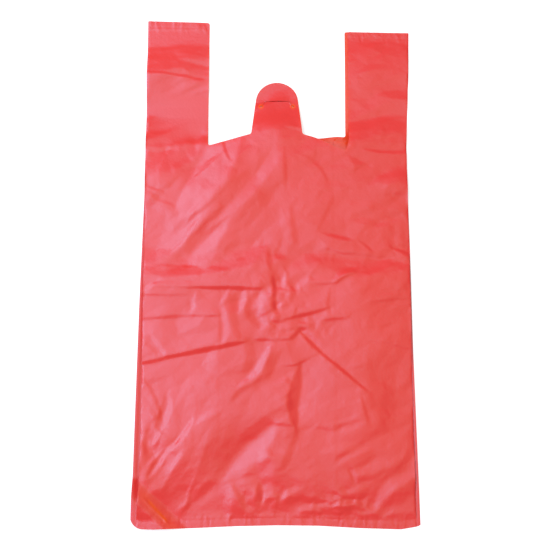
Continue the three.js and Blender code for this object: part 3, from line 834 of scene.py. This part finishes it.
def folded(verts):
    """Places the flat blank's points on the laid-out bag."""
    side = np.where(verts[:, 0] < 0, -1.0, 1.0)
    y = cut_y = verts[:, 1].copy()
    plies, across = plies_of(np.abs(verts[:, 0]))
    front, beside_fold = plies[0], plies[1]
    into_tuck = np.clip((HALF_WIDTH - across) / GUSSET_DEPTH, 0, 1)

    outward = (across / HALF_WIDTH) ** 3
    front_in = np.where(side < 0, side_pull(y, -1), side_pull(y, 1))
    back_in = np.where(side < 0, back_pull(y, -1), back_pull(y, 1))
    tucks_in = [front_in * (1 - into_tuck), back_in * (1 - into_tuck)]
    pull = np.select(plies, [front_in * outward, *tucks_in], back_in * outward)
    off_bottom, off_top = smooth_step(y, *PRESS_BAND), smooth_step(BAG_LENGTH - y, *PRESS_BAND)
    pressed = WELD_PRESS + (1 - WELD_PRESS) * off_bottom * off_top
    x, y = laid_out(side * (across - pull), y, np.select(plies, PLY_SHARES, BACK_SHARE))

    # the plies of the tucks and the back
    crease_heights = creases()
    fold_level = FRONT_FOLD_LEVEL * pressed
    at_fold, fold_y = (side * (HALF_WIDTH - front_in))[beside_fold], y[beside_fold]
    fold_level[beside_fold] += front_air(at_fold, fold_y) + free_relief(crease_heights, at_fold, fold_y)
    fold_level = np.maximum(fold_level, (TUCK_LEVEL + FOLD_OVER_TUCK) * pressed)
    tuck_level = TUCK_LEVEL * pressed
    front_tuck_level = fold_level + (tuck_level - fold_level) * np.sqrt(into_tuck)
    strip = (HALF_WIDTH - across) / STRIP_WIDTH
    in_handle = smooth_step(cut_y, 340.0, 400.0)
    back_fold_level = (BACK_FOLD_LEVEL + (BACK_HANDLE_LEVEL - BACK_FOLD_LEVEL) * in_handle) * pressed
    back_tuck_level = tuck_level + (back_fold_level - tuck_level) * (1 - smooth_step(strip, 0.2, 1.0))
    back_level = BACK_LEVEL + (back_fold_level - BACK_LEVEL) * (1 - smooth_step(strip, 0.0, 0.7))

    # the front panel, which rests on the ply under it
    on_tuck = smooth_step(across, INNER_FOLD - 10.0, INNER_FOLD)
    under = BACK_LEVEL + (front_tuck_level - BACK_LEVEL) * on_tuck + PLY_GAP
    front_level = FRONT_FOLD_LEVEL * pressed + front_air(x, y)
    front_level[front] += free_relief(crease_heights, x[front], y[front])
    lifted = np.logaddexp(0.0, (front_level - under) / CONTACT_SOFTNESS) * CONTACT_SOFTNESS
    front_level = under + lifted
    for from_edge in (cut_y, BAG_LENGTH - cut_y):
        welded = front & (from_edge < CRIMP_REACH)
        front_level[welded] += weld_crimps(x[welded], from_edge[welded])
    front_level = np.maximum(front_level, under - CONTACT_GIVE)
    front_level[front] += slit_lip(x[front], cut_y[front])
    front_level = np.where(across < HALF_WIDTH - ON_LINE, front_level, fold_level)

    z = np.select(plies, [front_level, front_tuck_level, back_tuck_level], back_level)
    z = z + np.where(front, 0.0, back_lip_curl(side * across, cut_y))
    z = z + turned_corner(x, y)
    return np.stack([x, y - BAG_LENGTH / 2, z], axis=1) / MM_PER_METRE


def painted_shade(verts):
    """Painted shade at each point of the blank, 0 to 1, which turns the film a deep orange-red: fully round
    the ends of the hanging slit and in the core of the turned corner's fold, where shade falls, and partly
    beside that fold; along the die-cut edge it makes a darker rim, reaching further in on the lower plies,
    which show in shade along the mouth."""
    cut = point_tree(die_cut_half())
    plies, across = plies_of(np.abs(verts[:, 0]))
    front, y = plies[0], verts[:, 1]
    away = np.array([cut.find((x, up, 0))[2] for x, up in zip(across, y)])
    cut_share, cut_fade = np.where(front, 0.3, 0.6), np.where(front, 1.0, 8.0)
    cut_edge = cut_share * np.exp(-away / cut_fade)
    from_slit_end = np.hypot(across - SLIT_SPAN / 2, y - (SLIT_Y - SLIT_RISE))
    slit_end = 1 - smooth_step(from_slit_end, 2.2, 3.6)
    outside, along = from_corner_fold(verts[:, 0], y)
    fold_share = 0.3
    corner_fold = fold_share * bell(outside, 1.0, 5.0) * smooth_step(along, -0.05, 0.2)
    corner_core = bell(outside, 0.5, 1.6) * between(along, 0.2, 0.35, 0.7, 0.85)
    return np.maximum(cut_edge, np.maximum(slit_end, front * np.maximum(corner_fold, corner_core)))


def carrier_bag():
    """The whole bag as one mesh object."""
    verts, faces = flat_blank()
    # the tube has no seam: the blank's two ends are one line down the middle of the back
    left_end = {round(y, 3): i for i, (x, y) in enumerate(verts) if abs(x + BACK_MIDDLE) < ON_LINE}
    right_end = {round(y, 3): i for i, (x, y) in enumerate(verts) if abs(x - BACK_MIDDLE) < ON_LINE}
    same = np.arange(len(verts))
    for up, i in left_end.items():
        same[i] = right_end[up]
    used, faces = np.unique(same[faces], return_inverse=True)
    mesh = bpy.data.meshes.new("carrier_bag_film")
    mesh.from_pydata(folded(verts)[used].tolist(), [], faces.reshape(-1, 3).tolist())
    mesh.polygons.foreach_set("use_smooth", [True] * len(mesh.polygons))
    mesh.set_sharp_from_angle(angle=SHARP_ANGLE)
    # the painted shade goes onto the mesh as a point attribute, for the film's colour to read
    mesh.attributes.new("painted_shade", "FLOAT", "POINT").data.foreach_set("value", painted_shade(verts)[used])
    mesh.update()
    bag = bpy.data.objects.new("carrier_bag_film", mesh)
    bpy.context.scene.collection.objects.link(bag)
    return bag


# Materials


def linear(hex_colour):
    """An sRGB hex colour as linear red, green, blue and alpha."""
    parts = [int(hex_colour[i : i + 2], 16) / 255 for i in (1, 3, 5)]
    return [p / 12.92 if p <= 0.04045 else ((p + 0.055) / 1.055) ** 2.4 for p in parts] + [1.0]


def add_node(tree, kind, inputs=(), **properties):
    """Adds one node with its properties set. An input is given a value, or another node's output to link."""
    node = tree.nodes.new(kind)
    for name, value in properties.items():
        setattr(node, name, value)
    for name, value in inputs:
        socket = node.inputs[name]
        if isinstance(value, bpy.types.NodeSocket):
            tree.links.new(value, socket)
        else:
            socket.default_value = value
    return node


def new_material(name):
    """A material with an empty node tree."""
    material = bpy.data.materials.new(name)
    material.use_nodes = True
    material.node_tree.nodes.clear()
    return material


def blown_hdpe_film():
    """Blown HDPE film: a thin red sheet that lets some light through, satin, with a haze and a fine grain.
    A deep orange-red painted into its colour stands in for shade round the slit ends, in the turned corner's
    fold and on the lower plies under the mouth's lip, and makes a darker rim along the cut edges."""
    # the film's clouding and its grain, in millimetres
    mottle_size, grain_size, grain_height = 71.43, 3.3333, 0.4
    material = new_material("blown_hdpe_film")
    tree = material.node_tree
    place = add_node(tree, "ShaderNodeTexCoord").outputs["Object"]
    clouds = [("Vector", place), ("Scale", MM_PER_METRE / mottle_size), ("Detail", 4.0)]
    mottle = add_node(tree, "ShaderNodeTexNoise", clouds).outputs["Fac"]
    tone = add_node(tree, "ShaderNodeValToRGB", [("Fac", mottle)])
    for stop, position, shade in zip(tone.color_ramp.elements, (0.3, 0.7), ("#d62d28", "#d9322d")):
        stop.position, stop.color = position, linear(shade)
    # painted shade: the film's colour is mixed toward a deep orange-red where the attribute marks the fold,
    # the slit ends, the cut edges and the lower plies in shade
    shade_share = add_node(tree, "ShaderNodeAttribute", attribute_name="painted_shade")
    with_painted_shade = [("Factor", shade_share.outputs["Fac"]), ("A", tone.outputs["Color"]), ("B", linear("#e44806"))]
    colour = add_node(tree, "ShaderNodeMix", with_painted_shade, data_type="RGBA").outputs["Result"]
    shine = [("Value", mottle), ("To Min", 0.29), ("To Max", 0.36)]
    roughness = add_node(tree, "ShaderNodeMapRange", shine).outputs["Result"]
    # the real film's grain is too fine to show, so it is drawn coarser
    specks = [("Vector", place), ("Scale", MM_PER_METRE / grain_size), ("Detail", 2.0)]
    grain = add_node(tree, "ShaderNodeTexNoise", specks).outputs["Fac"]
    relief = [("Height", grain), ("Strength", 0.3), ("Distance", grain_height / MM_PER_METRE)]
    surface = [
        ("Base Color", colour),
        ("Roughness", roughness),
        ("IOR", 1.54),
        ("Specular Tint", linear("#38f6ff")),
        ("Normal", add_node(tree, "ShaderNodeBump", relief).outputs["Normal"]),
    ]
    film = add_node(tree, "ShaderNodeBsdfPrincipled", surface)
    through = add_node(tree, "ShaderNodeBsdfTranslucent", [("Color", colour)])
    both = [("Fac", 0.12), (1, film.outputs["BSDF"]), (2, through.outputs["BSDF"])]
    sheet = add_node(tree, "ShaderNodeMixShader", both)
    add_node(tree, "ShaderNodeOutputMaterial", [("Surface", sheet.outputs["Shader"])])
    return material


def pale_table():
    """The plain white table. It keeps the bag's shadow and otherwise reads as white to the camera."""
    material = new_material("pale_table")
    tree = material.node_tree
    seen = add_node(tree, "ShaderNodeLightPath").outputs["Is Camera Ray"]
    matt = add_node(tree, "ShaderNodeBsdfDiffuse", [("Color", linear("#bcbcbc"))])
    glow = add_node(tree, "ShaderNodeEmission", [("Color", linear("#ffffff")), ("Strength", 0.55)])
    lit = add_node(tree, "ShaderNodeAddShader", [(0, matt.outputs[0]), (1, glow.outputs[0])])
    plain = add_node(tree, "ShaderNodeBsdfDiffuse", [("Color", linear("#e7e7e7"))])
    both = [("Fac", seen), (1, plain.outputs[0]), (2, lit.outputs[0])]
    top = add_node(tree, "ShaderNodeMixShader", both)
    add_node(tree, "ShaderNodeOutputMaterial", [("Surface", top.outputs[0])])
    return material


# Table, lights and camera, in metres


def table():
    """The table top that the bag lies on."""
    half = 3.0
    corners = [(-half, -half, 0), (half, -half, 0), (half, half, 0), (-half, half, 0)]
    mesh = bpy.data.meshes.new("table")
    mesh.from_pydata(corners, [], [(0, 1, 2, 3)])
    mesh.materials.append(pale_table())
    made = bpy.data.objects.new("table", mesh)
    bpy.context.scene.collection.objects.link(made)
    return made


def lamp_bank():
    """A bank of long lamps side by side over the bag, brightest and coolest on the left."""
    bank_turn, height = math.radians(5.0), 2.7
    cool, pale, plain, warm = (0.92, 1.0, 1.3), (0.96, 1.0, 1.12), (1.0, 1.0, 0.95), (1.0, 1.0, 0.55)
    # middle across, width, near end, far end, radiance, colour
    lamps = [
        (-1.90, 1.40, -1.2, 2.40, 7.00, cool),
        (-0.90, 0.60, -0.9, 1.80, 4.30, cool),
        (-0.30, 0.60, -0.9, 1.72, 2.80, pale),
        (0.30, 0.60, -0.9, 1.66, 2.05, plain),
        (0.90, 0.60, -0.9, 1.60, 1.25, warm),
        (1.50, 0.60, -0.9, 1.60, 0.60, warm),
    ]
    pivot = Vector((0.0, 0.9, 0.0))
    turn = Matrix.Rotation(-bank_turn, 3, "Z")
    for i, (place, width, near, far, radiance, colour) in enumerate(lamps):
        lamp = bpy.data.lights.new(f"lamp_bank_{i}", "AREA")
        lamp.shape = "RECTANGLE"
        lamp.size, lamp.size_y = width, far - near
        lamp.energy = radiance * math.pi * width * (far - near)
        lamp.color = colour
        made = bpy.data.objects.new(lamp.name, lamp)
        made.location = pivot + turn @ (Vector((place, (near + far) / 2, height)) - pivot)
        made.rotation_euler = (0.0, 0.0, -bank_turn)
        bpy.context.scene.collection.objects.link(made)


def camera_above():
    """The camera stands over the bag, tilted a little so that the bottom edge is nearer to it."""
    distance, tilt, aim = 0.9735, math.radians(12.38), (-0.002, -0.015)
    sensor_mm, focal_pixels, picture_pixels = 36.0, 949.4, 550.0
    lens = bpy.data.cameras.new("camera_above")
    lens.sensor_width = sensor_mm
    lens.lens = sensor_mm * focal_pixels / picture_pixels
    made = bpy.data.objects.new("camera_above", lens)
    made.location = (aim[0], aim[1] - distance * math.sin(tilt), distance * math.cos(tilt))
    made.rotation_euler = (tilt, 0.0, 0.0)
    bpy.context.scene.collection.objects.link(made)
    bpy.context.scene.camera = made


def surroundings():
    """An even pale room, which reads as white to the camera."""
    world = bpy.data.worlds.new("pale_room")
    world.use_nodes = True
    tree = world.node_tree
    tree.nodes.clear()
    seen = add_node(tree, "ShaderNodeLightPath").outputs["Is Camera Ray"]
    room = add_node(tree, "ShaderNodeBackground", [("Color", linear("#fffdf1")), ("Strength", 0.42)])
    white = add_node(tree, "ShaderNodeBackground", [("Color", linear("#ffffff")), ("Strength", 1.0)])
    both = [("Fac", seen), (1, room.outputs[0]), (2, white.outputs[0])]
    sky = add_node(tree, "ShaderNodeMixShader", both)
    add_node(tree, "ShaderNodeOutputWorld", [("Surface", sky.outputs[0])])
    bpy.context.scene.world = world


def main():
    """Makes the bag, its stage and its lights."""
    bag = carrier_bag()
    bag.data.materials.append(blown_hdpe_film())
    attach(bag, "root")
    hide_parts("carrier_bag")
    table()
    lamp_bank()
    surroundings()
    camera_above()
    bpy.context.scene.view_settings.view_transform = "Standard"


main()
